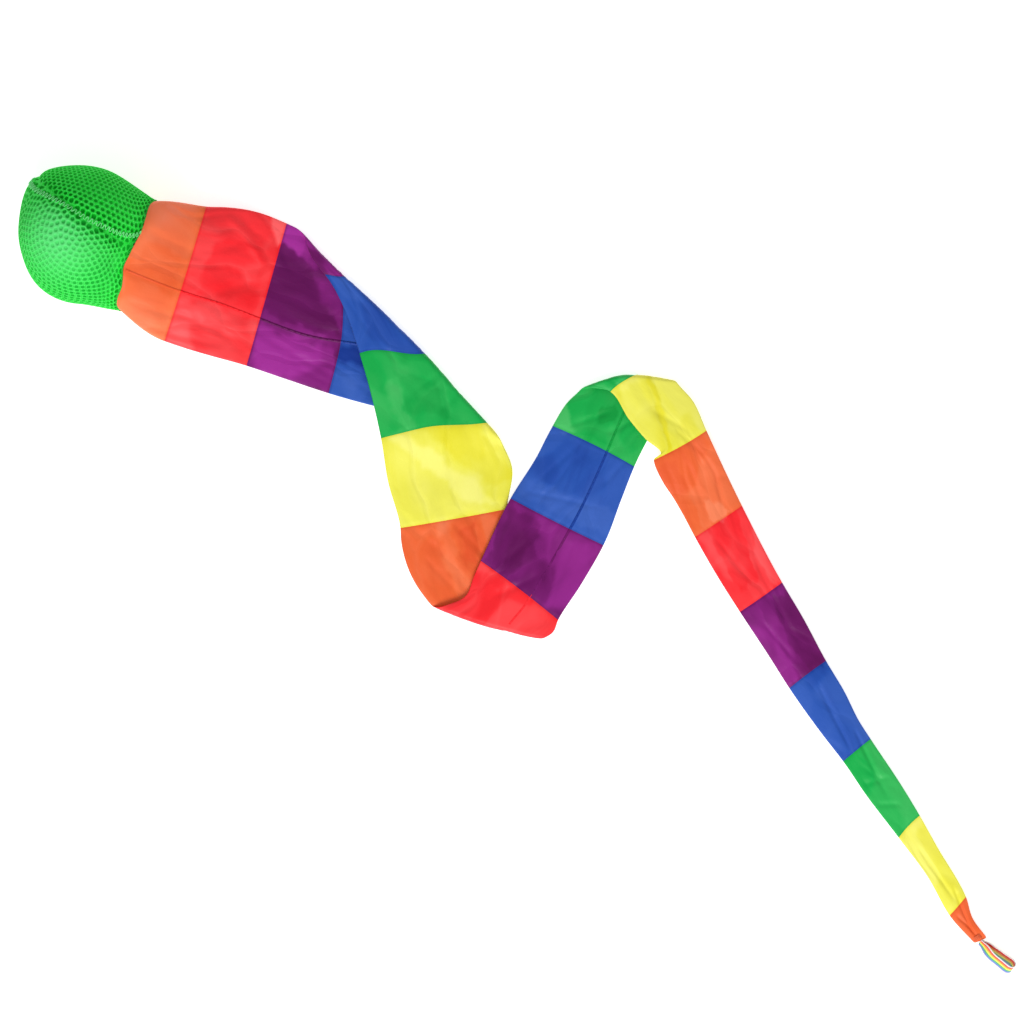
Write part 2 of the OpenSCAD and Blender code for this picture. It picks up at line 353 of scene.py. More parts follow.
def make_object(name, points, faces, materials, indices=None, smooth_shading=True):
    """A mesh object from points in millimetres."""
    mesh = bpy.data.meshes.new(name)
    mesh.from_pydata((np.asarray(points) * MM).tolist(), [], faces)
    for m in materials:
        mesh.materials.append(m)
    if indices is not None:
        mesh.polygons.foreach_set("material_index", np.asarray(indices, np.int32))
    mesh.polygons.foreach_set("use_smooth", np.full(len(mesh.polygons), smooth_shading))
    mesh.update()
    obj = bpy.data.objects.new(name, mesh)
    bpy.context.scene.collection.objects.link(obj)
    return obj


def set_vectors(obj, name, values):
    layer = obj.data.attributes.new(name, "FLOAT_VECTOR", "POINT")
    layer.data.foreach_set("vector", np.asarray(values, np.float32).ravel())


def set_values(obj, name, values):
    layer = obj.data.attributes.new(name, "FLOAT", "POINT")
    layer.data.foreach_set("value", np.asarray(values, np.float32))


def subdivide(obj, levels=1):
    modifier = obj.modifiers.new("subdivision", "SUBSURF")
    modifier.levels = levels
    modifier.render_levels = levels
    return obj


# ---------------------------------------------------------------- the tail

# How the edges of the laid tail stray from straight lines: distance along the tail, shift in x, shift in y.
# The first values of LEFT_EDGE and RIGHT_EDGE were a script's output, worked out from places read off the
# photo and rounded to whole millimetres, and about half of them still stand. Later ones were changed after
# they were measured against the photo. MIDDLE_LINE and the two tables after it were set round them. The left
# edge is the one on the left of somebody who walks along the first stretch.
LEFT_EDGE = [
    (0, 0.8, -2.1), (34, -2, -3), (45, -1, 0), (70, -2, 4.5), (93, -4, 5), (105, -4, 4), (125, -2, 1),
    (146, 2, -2), (199, 4, -1), (252, 2, 0), (280, -2, 1), (310, -3, 2), (322, -6, 3), (340, -7, 3),
    (370, 1, 5), (385, 13, 1), (400, 11, 2), (418, 6, -2), (466, -1, -1), (500, -2, -1), (520, -5, -2),
    (540, -5, 0), (560, -3, -3), (578, 3, 7), (600, 2, 5.5), (615, 4, 5), (626, 8, 4), (630, 1, 4.5),
    (632, 0, 4.5), (645, -1.5, 2), (657, -1, 1.2), (672, -2.5, 2), (690, -4.5, 2), (719, -6.5, 1.5),
    (748, -7, 1), (782, -6.5, 0), (807, -6.5, -1), (844, -5, -1), (866, -3, -1), (891, -2, -2),
    (924, 1.5, -3), (953, 4.5, -4.5), (983, 3, -6), (1011, 4, -1),
]
RIGHT_EDGE = [
    (0, 0.8, -2.1), (34, -0.5, -3), (93, -2, -2), (120, -0.5, -4), (146, 1.5, -6), (199, 4, -6),
    (240, 4, -4), (252, 4, -3), (264, 2, -1), (285, 6, -3), (310, -3, -5), (369, -2, -6), (400, -1, -6),
    (408, 3, -8), (418, 2, -8), (440, 6, -5), (466, 9, -1), (500, 5, 0.5), (525, 1.5, 0), (575, 0, 0),
    (591, -1, 1), (610, 2.5, 4), (631, 1, 3), (690, -4, 4), (748, -6, 4), (774, -5, 3.5), (807, -5.5, 3),
    (830, -4.5, 2.5), (852, -5.5, 2), (866, -4.5, 2), (899, -1.5, 2), (924, -0.5, 2), (946, 0, 1),
    (983, 1.5, -1), (1000, -1.5, -2), (1011, 2, -4),
]
MIDDLE_LINE = [
    (0, 0.8, -2.1), (34, -0.5, -2.5), (70, -2, 1), (93, -3, 1), (120, -1, -2), (146, 1, -2), (175, 3, -0.5),
    (199, 4, 0), (252, 3, -1), (310, -4, -2), (370, -1, -2), (400, 2, -3), (418, 4, -4), (466, 3, -1),
    (525, -1, 0), (560, -4, 0), (583, -3, 5), (600, 1, 4), (631, 2, 3.5), (690, -4, 3), (748, -6, 2.5),
    (807, -6, 1.5), (866, -4, 0.5), (924, 0, 0), (983, 2.5, -3.5), (1011, 2, -2.5),
]
# How far the cloth is pushed up the table just past the first fold, along the tail
PUSHED_UP = [(105, 0), (125, 8), (146, 14), (199, 13), (252, 6), (310, 0)]
# How far the cloth has slipped back along the first crease
SLIPPED_BACK = [(105, 0), (125, 7), (146, 13), (170, 8), (199, 0)]

# The share of its listed half width that a crease has
CREASE_SLIM = 0.7
# Sewn or pressed creases on the upper side: start (along, across), end, half width, depth. Across is a share
# of the half width, positive to the left, and a negative depth is a ridge.
CREASES = [
    (2, -0.75, 60, -0.50, 3.0, 1.2), (6, -0.92, 85, -0.80, 3.5, 1.3), (0, 0.45, 70, 0.10, 4.5, 0.9),
    (10, 0.85, 60, 0.55, 4.0, -0.8), (30, -0.55, 90, -0.72, 2.5, 0.9), (40, 0.2, 95, 0.05, 3.0, 0.7),
    (45, 0.95, 95, 0.25, 3.5, -1.0), (80, 0.9, 108, 0.35, 2.2, 1.0), (60, -0.35, 92, -0.42, 2.0, 0.8),
    (90, -0.5, 150, -0.75, 2.2, 0.9), (112, -0.6, 118, -0.95, 1.6, 0.7), (118, -0.75, 150, -0.55, 1.8, 0.8),
    (120, -0.78, 148, -0.88, 1.6, 0.7), (100, -0.15, 165, -0.2, 2.5, 0.8), (125, 0.1, 190, -0.25, 2.4, 0.9),
    (150, -0.4, 185, -0.6, 2.0, 0.7),
]
UNDER_CREASES = [
    (200, -0.7, 235, 0.5, 2.5, 0.8), (215, -0.8, 248, 0.1, 2.2, 0.7), (262, -0.1, 300, 0.3, 2.6, 0.7),
    (268, -0.7, 305, -0.5, 2.4, 0.9), (255, 0.45, 305, 0.6, 2.2, 0.6), (318, -0.2, 368, 0.35, 2.8, 0.9),
    (320, 0.4, 366, 0.75, 2.2, 0.8), (312, 0.0, 345, -0.5, 2.4, 0.8), (330, 0.7, 372, 0.2, 2.0, 0.7),
    (600, 0.2, 628, -0.5, 2.2, 0.8), (585, -0.3, 630, 0.5, 2.0, 0.8), (640, 0.1, 688, 0.3, 2.2, 0.7),
    (660, -0.6, 700, -0.2, 2.0, 0.7), (695, 0.4, 740, 0.0, 2.0, 0.8), (720, -0.5, 790, -0.3, 2.2, 0.8),
    (760, 0.5, 800, 0.1, 1.8, 0.8), (812, -0.2, 870, 0.3, 2.0, 0.8), (850, -0.6, 905, 0.1, 2.0, 0.9),
    (885, 0.9, 893, -0.9, 1.8, 0.9), (900, 0.9, 912, -0.5, 1.6, 0.8), (935, 0.3, 985, -0.1, 1.8, 0.8),
    (970, -0.5, 1008, 0.3, 1.6, 0.9), (985, 0.6, 1010, -0.1, 1.4, 0.9),
]
THIRD_CREASES = [
    (425, 0.6, 462, 0.1, 2.4, 0.8), (430, -0.6, 465, -0.4, 2.2, 0.8), (400, 0.4, 440, -0.3, 2.6, 0.9),
    (468, 0.5, 520, 0.2, 2.2, 0.8), (475, 0.9, 490, -0.9, 1.8, 0.6), (500, -0.5, 530, -0.8, 2.0, 0.8),
    (528, 0.7, 556, -0.1, 2.2, 0.9), (535, -0.1, 560, -0.7, 2.0, 0.9), (505, 0.1, 560, 0.35, 2.4, 0.8),
]

# Broad facets: the band, the corners in order, and how far the facet looks lighter or darker. Most corners
# come from a script that gave the cloth's place under points of the photo, and are rounded to tenths.
# A corner is a share of the band's length and a share of the half width, positive to the left.
# A facet's last number is painted light where positive and painted shade where negative.
UPPER_FACETS = [
    (1, [(0, -0.35), (1, -0.35), (1, -1), (0, -1)], 0.35),
    (1, [(0.2, 0.3), (1, 0.2), (1, -0.2), (0.2, -0.2)], -0.3), (2, [(0.7, 1.1), (1, 1.1), (1, 0.7)], 1.2),
    (2, [(0, -0.35), (1, -0.35), (1, -1), (0, -1)], 0.3),
    (2, [(0.2, 0.5), (0.9, 0.6), (0.9, -0.2), (0.2, -0.2)], -0.35),
    (3, [(0, 0.7), (0.3, 0.7), (1, -0.2), (0, -0.2)], -0.7),
    (3, [(0, 1.1), (0.3, 1.1), (0.3, 0.7), (0, 0.7)], 0.8),
    (3, [(0.3, 1.1), (1, 1.1), (1, 0.5), (0.3, 0.7)], 0.4),
    (3, [(0, -0.4), (1, -0.4), (1, -1), (0, -1)], 0.5),
    (4, [(0, -0.3), (0.6, -0.4), (0.6, -0.6), (0, -0.5)], -1.0),
    (4, [(0, -0.6), (0.5, -0.7), (0.4, -1), (0, -1)], 0.4),
    (9, [(0, 0.9), (0.9, 0.9), (0.9, 0.2), (0, 0.3)], -0.5),
    (9, [(0, -0.3), (0.9, -0.3), (0.9, -1), (0, -1)], 0.2),
    (10, [(0.1, 1), (0.3, 1), (0.4, -1), (0.1, -1)], 0.4), (11, [(0, 1.1), (0.4, 1.1), (0, 0.5)], 1.0),
    (11, [(0.3, 0.1), (0.5, 0.3), (0.6, 0), (0.4, -0.2)], -1.0),
]
LOWER_FACETS = [
    (5, [(0.3, 0.5), (0.8, 0.5), (0.9, -0.2), (0.4, -0.1)], -0.5),
    (5, [(0.4, 0.6), (0.5, 0.8), (1, 0.6), (1, 0.4)], 0.6),
    (6, [(0, 0.9), (0, 0.6), (0.9, -0.8), (0.9, -0.4)], 0.7),
    (6, [(0, 0.3), (0, -0.7), (0.7, -1), (0.7, -0.6)], -0.6),
    (7, [(0, 0.3), (1, 0.4), (1, 0.2), (0, 0)], 0.6),
    (7, [(0.1, -0.1), (0.9, 0.1), (0.9, -0.1), (0.1, -0.4)], -0.6),
    (12, [(0.1, 1), (0.1, -0.3), (0.9, 0.6), (0.9, 1)], -0.3),
    (12, [(0.1, -0.3), (0.1, -0.5), (1, 0.4), (1, 0.6)], -0.9),
    (13, [(0.1, 1), (1, 1), (1, 0.6), (0.1, 0.4)], -0.35),
    (13, [(0.7, 0.2), (1, 0.2), (1, -0.5), (0.8, -0.3)], 0.9),
    (14, [(0, 0.5), (0.8, 0.6), (0.8, -0.2), (0.4, -0.5), (0, -0.7)], -0.5),
    (14, [(0.3, -1), (1, -1), (0.9, -0.6), (0.5, -0.6)], 0.45),
    (15, [(0, 1), (1, 1), (1, 0.4), (0, 0.3)], 0.3),
    (15, [(0.1, -0.3), (0.1, -1), (1, -1), (1, -0.2), (0.6, 0)], -0.55),
    (18, [(0.1, -0.1), (1, -0.1), (1, -1), (0.1, -1)], -0.3),
    (18, [(0.1, 0.9), (1, 0.9), (1, 0.4), (0.1, 0.4)], 0.2),
]


def through(points, column, s):
    """A smooth curve through a column of a list of points, at distances s."""
    x = np.array([p[0] for p in points], float)
    y = np.array([p[column] for p in points], float)
    slope = np.gradient(y, x)
    i = np.clip(np.searchsorted(x, s, side="right") - 1, 0, len(x) - 2)
    h = x[i + 1] - x[i]
    t = np.clip((s - x[i]) / h, 0, 1)
    a, b = y[i], y[i + 1]
    return (
        a * (1 + 2 * t) * (1 - t) ** 2 + b * t * t * (3 - 2 * t)
        + h * (slope[i] * t * (1 - t) ** 2 - slope[i + 1] * t * t * (1 - t))
    )


def tail_half_width(s, g):
    slim = np.where(np.asarray(g) == 3, LAST_SLIM, 1.0)
    return (TAIL_W + (TIP_W - TAIL_W) * s / TIP_S) / 2 * slim


def fold_distance(j, s, u):
    """How far a point of the flat cloth lies past crease j."""
    slant = half_turn(j)
    return (s - START[j]) * math.sin(slant) + u * math.cos(slant)


def stretch_of(s, u):
    g = np.zeros(s.shape, int)
    for j in (1, 2, 3):
        g = np.where(fold_distance(j, s, u) > 0, j, g)
    return g


def stray(s, share):
    """Shift on the table of cloth at distance s and at a share of the half width across, as x and y."""
    left, middle, right = (
        np.stack([through(line, c, s) for c in (1, 2)], axis=-1)
        for line in (LEFT_EDGE, MIDDLE_LINE, RIGHT_EDGE)
    )
    t = np.clip(share, -1, 1)[..., None]
    return middle * (1 - t * t) + left * (t * t + t) / 2 + right * (t * t - t) / 2


def pushed_up(s, u):
    """Shift up the table of the cloth that lies past the first fold."""
    reach = 25 + 15 * smooth((s - 146) / 53)
    return through(PUSHED_UP, 1, np.clip(s, 105, 310)) * smooth(fold_distance(1, s, u) / reach)


def slipped_back(s, u):
    """Shift of the cloth at the first fold, back along the crease."""
    crease = (HEAD[0] + HEAD[1]) / np.linalg.norm(HEAD[0] + HEAD[1])
    slip = through(SLIPPED_BACK, 1, np.clip(s, 105, 199)) * np.exp(-((fold_distance(1, s, u) / 22) ** 2))
    return -slip[..., None] * crease


def place_cloth(s, u, v, share):
    """Places cloth points: s along the tail, u to its side and v above its middle layer, each an array."""
    g = stretch_of(s, u)
    path, head, side = (np.array(x) for x in (PATH, HEAD, SIDE))
    start = np.array(START)
    flat = path[g] + (s - start[g])[..., None] * head[g] + u[..., None] * side[g]
    normal = np.zeros(s.shape + (3,))
    normal[..., 2] = np.where(g % 2 == 0, 1.0, -1.0)
    z = lift(s, u, g, flat)
    xy = flat.copy()
    radius = HIGH_MID - FOLD_Z
    for j in (1, 2, 3):
        d = fold_distance(j, s, u)
        near = np.abs(d) < radius
        crease = HEAD[j - 1] + HEAD[j]
        crease = crease / np.linalg.norm(crease)
        out = HEAD[j - 1] - HEAD[j]
        out = out / np.linalg.norm(out)
        angle = d / radius * math.pi / 2
        along = (s - START[j]) * math.cos(half_turn(j)) - u * math.sin(half_turn(j))
        depth = radius * (np.cos(angle) * 0.35 - 1.0)
        bend_xy = PATH[j] + along[..., None] * crease + depth[..., None] * out
        bend_z = FOLD_Z + radius * np.sin(angle)
        sign = 1.0 if j != 2 else -1.0
        bend_normal = np.concatenate(
            [-sign * np.cos(angle)[..., None] * out, -sign * np.sin(angle)[..., None]], axis=-1
        )
        xy = np.where(near[..., None], bend_xy, xy)
        z = np.where(near, bend_z, z)
        normal = np.where(near[..., None], bend_normal, normal)
    xy = xy + stray(s, share) + np.where((g < 2)[..., None], slipped_back(s, u), 0.0)
    xy[..., 1] += np.where(g == 1, pushed_up(s, u), 0.0)
    point = np.concatenate([xy, z[..., None]], axis=-1)
    return point + normal * v[..., None]


def footprint(g, xy):
    """Distance of table points inside the edge of stretch g, negative outside."""
    offset = xy - PATH[g]
    s = offset @ HEAD[g] + START[g]
    u = offset @ SIDE[g]
    inside = tail_half_width(s, g) - np.abs(u)
    if g < 3:
        inside = np.minimum(inside, -fold_distance(g + 1, s, u))
    if g > 0:
        inside = np.minimum(inside, fold_distance(g, s, u))
    return inside


LAST_BLENDED = {1: 5, 2: 8, 3: 12}


def lift(s, u, g, xy):
    """Height of the cloth's middle layer: on the table, or on the stretch that lies below it."""
    z = np.where(g == 0, neck_centre(s), LOW_MID)
    for stretch, k in LAST_BLENDED.items():
        held = 1.0 - smooth((s - BAND_END[k]) / 34.0)
        below = smooth((footprint(stretch - 1, xy) + 14.0) / 14.0)
        share = np.maximum(held, below)
        z = np.where(g == stretch, LOW_MID + (HIGH_MID - LOW_MID) * share, z)
    return z


def neck_share(s):
    return smooth(s / BAND_END[1])


def neck_centre(s):
    first = BALL_R + (NECK_H / 2 - BALL_R) * neck_share(s)
    second = NECK_H / 2 + (LOW_MID - NECK_H / 2) * smooth((s - BAND_END[1]) / (BAND_END[2] - BAND_END[1]))
    return np.where(s < BAND_END[1], first, second)


def section_size(s):
    """Width and height of the tube's section."""
    flat_w = 2 * tail_half_width(s, 0) * (1 + (LAST_SLIM - 1) * smooth((s - START[3] + 20) / 60))
    t1 = np.clip(s / BAND_END[1], 0, 1)
    first_w = MOUTH_W + (NECK_W - MOUTH_W) * np.sin(t1 * math.pi / 2)
    first_h = MOUTH_H + (NECK_H - MOUTH_H) * neck_share(s)
    t = smooth((s - BAND_END[1]) / (BAND_END[2] - BAND_END[1]))
    second_h = NECK_H + (TUBE_H - NECK_H) * t
    second_w = NECK_W + (flat_w - NECK_W) * t
    w = np.where(s < BAND_END[1], first_w, np.where(s < BAND_END[2], second_w, flat_w))
    last_h = TUBE_H - (TUBE_H - TIP_H) * smooth((s - BAND_END[BANDS] + 12) / 12)
    h = np.where(s < BAND_END[1], first_h, np.where(s < BAND_END[2], second_h, last_h))
    return w, h


TIP_H = 1.6
HALF_RING = 44
RING = 2 * HALF_RING


def ring_places():
    """Side and height round the tube's section, from -1 to 1: left edge, over the top, right edge, below."""
    spread = 0.42 * math.pi
    y = np.linspace(1, -1, HALF_RING + 1)
    side = np.sin(spread * y) / math.sin(spread)
    side = np.concatenate([side, side[-2:0:-1]])
    round_height = np.sqrt(np.clip(1 - side**2, 0, 1))
    flat_height = np.sqrt(np.clip(1 - np.abs(side) ** 3, 0, 1))
    sign = np.where(np.arange(RING) <= HALF_RING, 1.0, -1.0)
    return side, round_height * sign, flat_height * sign


def tail_rows(step):
    """Places along the tail, with a row on each band's end, and the index of the row that ends each band."""
    rows, ends = [0.0], [0]
    for k in range(1, BANDS + 1):
        count = max(2, int(round((BAND_END[k] - BAND_END[k - 1]) / step)))
        rows += list(np.linspace(BAND_END[k - 1], BAND_END[k], count + 1)[1:])
        ends.append(len(rows) - 1)
    return np.array(rows), ends


def crease_depth(creases, s, share, half):
    """Depth of a list of creases at cloth points."""
    depth = np.zeros(s.shape)
    for s0, a0, s1, a1, wide, deep in creases:
        ax, ay = s0, a0 * half
        bx, by = s1 - s0, a1 * half - ay
        length = np.sqrt(bx * bx + by * by)
        t = ((s - ax) * bx + (share * half - ay) * by) / length**2
        off = np.abs((s - ax) * by - (share * half - ay) * bx) / length
        wide = CREASE_SLIM * wide
        ends_fade = smooth(np.clip(t, 0, 1) * 5) * smooth((1 - np.clip(t, 0, 1)) * 3)
        depth += deep * np.exp(-((off / wide) ** 2)) * ends_fade
    return depth


def soft_folds(s, u, layer):
    """Depth of the shallow folds all over the cloth, from 0 upwards, in millimetres."""
    out = np.zeros(s.size)
    for i, (a, b) in enumerate(zip(s.ravel(), u.ravel())):
        warp = 9 * noise.noise(Vector((a * 0.013, b * 0.013, layer * 3.1)))
        long_fold = noise.noise(Vector((a * 0.012, (b + warp) * 0.055, layer * 7.3)))
        cross_fold = noise.noise(Vector(((a + warp) * 0.03 + 31, b * 0.018, layer * 5.1)))
        sharp = abs(noise.noise(Vector((a * 0.016 + b * 0.01 + 9, (b + warp) * 0.04, layer * 3.7))))
        fine = abs(noise.noise(Vector((a * 0.035 - b * 0.02 + 5, (b - warp) * 0.085, layer * 4.9))))
        broken = noise.noise(Vector((a * 0.021, b * 0.021, layer * 9.1)))
        out[i] = (0.6 + 0.85 * long_fold + 0.55 * cross_fold + 0.75 * max(0.0, 1 - 6 * sharp)
                  + 0.55 * max(0.0, 1 - 5 * fine) * max(0.0, 0.35 + 2 * broken))
    return np.maximum(out, 0.0).reshape(s.shape)


FACET_SCALE = 40.0
FACET_EDGE = 3.2


def seam_relief(s):
    """How far the lengthwise seam stands out, and how strong its painted shadow is: less where the cloth round the
    second fold is pulled flat.
    """
    return np.where((s > BAND_END[7]) & (s < BAND_END[9]), 0.15, 1.0)


def painted_facet_shade(table, s, share):
    """The painted light and shade of the broad facets at each point; across is measured at one scale all along."""
    painted_shade = np.zeros(s.shape)
    across = share * FACET_SCALE + 1.3 * np.sin(0.31 * s) + 0.6 * np.sin(0.83 * s + 2)
    s = s + 1.4 * np.sin(0.27 * across) + 0.7 * np.sin(0.71 * across + 1)
    for k, corners, strength in table:
        inside = np.full(s.shape, np.inf)
        start, length = BAND_END[k - 1], BAND_END[k] - BAND_END[k - 1]
        places = [(start + a * length, b * FACET_SCALE) for a, b in corners]
        area = sum(a[0] * b[1] - b[0] * a[1] for a, b in zip(places, places[1:] + places[:1]))
        for a, b in zip(places, places[1:] + places[:1]):
            along, side = b[0] - a[0], b[1] - a[1]
            off = (along * (across - a[1]) - side * (s - a[0])) / math.hypot(along, side)
            inside = np.minimum(inside, off * np.sign(area))
        painted_shade += strength * smooth(inside / FACET_EDGE + 0.5)
    return painted_shade


# The small facets: how many, how much longer than wide, how soft their borders, and the strongest painted light or
# shade
CRUMPLES = 230
CRUMPLE_STRETCH = 1.7
CRUMPLE_EDGE = 0.9
CRUMPLE_SHADE = 0.45


def painted_crumple_shade(s, u, seed):
    """The painted light and shade of many small facets at each point; each lies round a random place."""
    draw = np.random.default_rng(seed)
    along = draw.uniform(-10, TIP_S + 10, CRUMPLES)
    across = draw.uniform(-TAIL_W / 2, TAIL_W / 2, CRUMPLES)
    crumple_shades = draw.uniform(-1, 1, CRUMPLES)
    out = np.zeros(s.shape)
    for i in range(len(s)):
        away = np.hypot((s[i][:, None] - along) / CRUMPLE_STRETCH, u[i][:, None] - across)
        weight = np.exp((away.min(axis=1, keepdims=True) - away) / CRUMPLE_EDGE)
        out[i] = (weight * crumple_shades).sum(axis=1) / weight.sum(axis=1)
    return CRUMPLE_SHADE * out


def seam_line(s):
    """Where the lengthwise seam runs, as a share of the half width."""
    return SEAM_PLACE + 0.03 * np.sin(s / 21.0)


BOW_PLACES = np.linspace(-1, 1, 101)
BOW_CURVE = through(MOUTH_BOW, 1, BOW_PLACES)


def mouth_bow(share, rise):
    """How far the mouth is drawn back at a place across the neck, and at a share of its height."""
    return np.interp(share, BOW_PLACES, BOW_CURVE) * smooth(rise / 0.4)


def build_tail():
    """The whole tail as one tube: cloth coordinates, points, and the look of each point."""
    rows, ends = tail_rows(1.8)
    side, round_height, flat_height = ring_places()
    s = np.repeat(rows[:, None], RING, axis=1)
    w, h = section_size(s)
    flatness = smooth(s / BAND_END[2])
    height = round_height + (flat_height - round_height) * flatness
    share = np.repeat(side[None, :], len(rows), axis=0)
    u, v = w / 2 * share, h / 2 * height
    upper = np.repeat((np.arange(RING) <= HALF_RING)[None, :], len(rows), axis=0)
    inner = 1 - np.abs(share) ** 6
    relief = np.where(upper, soft_folds(s, u, 1.0), soft_folds(s, u, 2.0))
    creases = np.where(upper, crease_depth(CREASES + THIRD_CREASES, s, share, w / 2),
                       crease_depth(UNDER_CREASES, s, share, w / 2))
    seam = np.where(upper, 0.5 * np.exp(-(((share - seam_line(s)) * w / 2 + 1.2) / 1.3) ** 2), 0.0)
    seam = seam * seam_relief(s)
    band_seam = np.zeros(s.shape)
    for k in range(1, BANDS):
        band_seam = np.maximum(band_seam, np.exp(-(((s - BAND_END[k]) / 1.3) ** 2)))
    room = np.clip(h / TUBE_H, 1, 2.2) * smooth(s / 8.0)
    sunk = (0.75 * relief * room + creases * np.minimum(room, 1.5)) * inner + seam + 0.35 * band_seam
    under = stretch_of(s, u) % 2 == 0
    sunk = np.where(upper != under, 0.35 * sunk, sunk)
    limit = np.abs(v) * 0.92
    v = np.sign(v) * (np.abs(v) - np.minimum(sunk, limit))
    # painted light and shade of the broad and the small facets, for each layer
    painted_shade = np.where(upper, painted_facet_shade(UPPER_FACETS, s, share) + painted_crumple_shade(s, u, 1),
                    painted_facet_shade(LOWER_FACETS, s, share) + painted_crumple_shade(s, u, 2))
    pull = mouth_bow(share, np.where(upper, height, 0.0)) * smooth(1 - s / 26.0)
    points = place_cloth(s, u, v, share)
    points[..., :2] -= pull[..., None] * HEAD[0]
    return {
        "s": s, "u": u, "upper": upper, "points": points, "ends": ends, "painted_shade": painted_shade, "hem": band_seam,
        "width": w, "share": share,
    }


def tail_piece(name, tail, first, last, material):
    """One colour band of the tail as its own piece, from the rows of the whole tube."""
    rows = slice(first, last + 1)
    n = last - first + 1
    faces = []
    for i in range(n - 1):
        for j in range(RING):
            a, b = i * RING + j, i * RING + (j + 1) % RING
            faces.append((a, b, b + RING, a + RING))
    if last == len(tail["s"]) - 1:
        faces.append(tuple(range((n - 1) * RING, n * RING)))
    obj = make_object(name, tail["points"][rows].reshape(-1, 3), faces, [material])
    cloth = np.stack([tail["s"][rows], tail["u"][rows], 50.0 * tail["upper"][rows]], axis=-1) * MM
    set_vectors(obj, "cloth", cloth.reshape(-1, 3))
    look = np.stack([tail["painted_shade"][rows], tail["hem"][rows], 0 * tail["hem"][rows]], axis=-1)
    set_vectors(obj, "look", look.reshape(-1, 3))
    return obj


NODES_OF_BAND = {}
for body, names in frame["record"]["behaviour"]["bodies"].items():
    for name in names:
        if name.startswith("band_"):
            NODES_OF_BAND.setdefault(int(name[5:7]), []).append((body, name))


def ride_neck(obj):
    """The piece keeps its place, baked into its mesh; it is given to no body."""
    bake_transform(obj)


def ride_fold(obj):
    """The piece lies over a fold; its place is baked into its mesh and it is given to no body."""
    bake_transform(obj)


def ride_band(obj, k):
    here = NODES_OF_BAND[k]
    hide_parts(*[name for _, name in here])
    if k == 2:
        ride_neck(obj)
    elif len(here) == 1:
        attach(obj, here[0][0])
    else:
        ride_fold(obj)


def make_tail():
    tail = build_tail()
    ends = tail["ends"]
    for k in range(1, BANDS + 1):
        name = f"tail_band_{k:02d}_{colour_of(k)}"
        obj = tail_piece(name, tail, ends[k - 1], ends[k], MATERIAL[colour_of(k)])
        subdivide(obj)
        ride_band(obj, k)
    return tail


# ---------------------------------------------------------------- seams, tip and loop

SEAM_HALF_W = 0.8
SEAM_H = 0.35
STITCH_LEN, STITCH_GAP, STITCH_R = 2.6, 1.5, 0.22


def on_tail(tail, i, share):
    """The point of row i on the upper side of the cloth, at a share of the half width."""
    column = np.interp(-share, -tail["share"][0][: HALF_RING + 1], np.arange(HALF_RING + 1))
    a = int(column)
    f = column - a
    return tail["points"][i][a] * (1 - f) + tail["points"][i][a + 1] * f


def seam_strip(tail, name, first_s, last_s, side_up, stitched):
    """The lapped ridge of the lengthwise seam, in the colours of the bands, with its stitches. Both are painted
    darker as the seam's shadow, less where the seam lies flat.
    """
    rows = [i for i, s in enumerate(tail["s"][:, 0]) if first_s <= s <= last_s]
    lift_up = np.array([0, 0, 1.0 if side_up else -1.0])
    offsets = [(-1.0, -0.15), (-0.8, 0.55), (0.0, 1.0), (0.9, 0.75), (1.0, -0.15)]
    points, faces, colours, cloth, looks = [], [], [], [], []
    centres = []
    for i in rows:
        s = float(tail["s"][i, 0])
        half = tail["width"][i, 0] / 2
        share = float(seam_line(s))
        for across, up in offsets:
            at = share + across * SEAM_HALF_W / half
            height = SEAM_H * float(seam_relief(s)) * (1 if side_up else 0.3)
            points.append(on_tail(tail, i, at) + lift_up * up * height)
            cloth.append((s * MM, at * half * MM, 0.05))
            # painted shadow along the seam: the strip is darker, less where the seam lies flat
            looks.append((-0.75 * float(seam_relief(s)), 0.0, 0.0))
        centres.append((s, on_tail(tail, i, share) + lift_up * SEAM_H * float(seam_relief(s))))
    n = len(offsets)
    for r in range(len(rows) - 1):
        k = int(np.searchsorted(BAND_END, centres[r][0] + 0.01))
        for c in range(n - 1):
            a = r * n + c
            faces.append((a, a + n, a + n + 1, a + 1))
            colours.append((k - 1) % 6)
    if stitched:
        s_list = np.array([c[0] for c in centres])
        line = np.array([c[1] for c in centres])
        at = s_list[0] + 1.0
        while at + STITCH_LEN < s_list[-1]:
            ends = [np.array([np.interp(at + d, s_list, line[:, a]) for a in range(3)])
                    for d in np.linspace(0, STITCH_LEN, 4)]
            ahead = (ends[-1] - ends[0]) / np.linalg.norm(ends[-1] - ends[0])
            across = np.cross(ahead, [0, 0, 1])
            base = len(points)
            for e, (p, r) in enumerate(zip(ends, (0.35, 1.0, 1.0, 0.35))):
                for q in range(6):
                    turn = q * math.pi / 3
                    offset = math.cos(turn) * across + math.sin(turn) * np.array([0, 0, 1])
                    dip = lift_up * STITCH_R * (0.1 if r == 1 else -0.9)
                    points.append(p + dip + offset * STITCH_R * r)
                    cloth.append((at * MM, 0.0, 0.05))
                    # painted shadow: the stitches are darker still
                    looks.append((-0.9 * float(seam_relief(at)), 0.0, 0.0))
            for e in range(3):
                for q in range(6):
                    a, b = base + e * 6 + q, base + e * 6 + (q + 1) % 6
                    faces.append((a, b, b + 6, a + 6))
                    colours.append((int(np.searchsorted(BAND_END, at + 0.01)) - 1) % 6)
            at += STITCH_LEN + STITCH_GAP
    obj = make_object(name, points, faces, [MATERIAL[c] for c in COLOURS], colours)
    set_vectors(obj, "cloth", cloth)
    set_vectors(obj, "look", looks)
    return obj


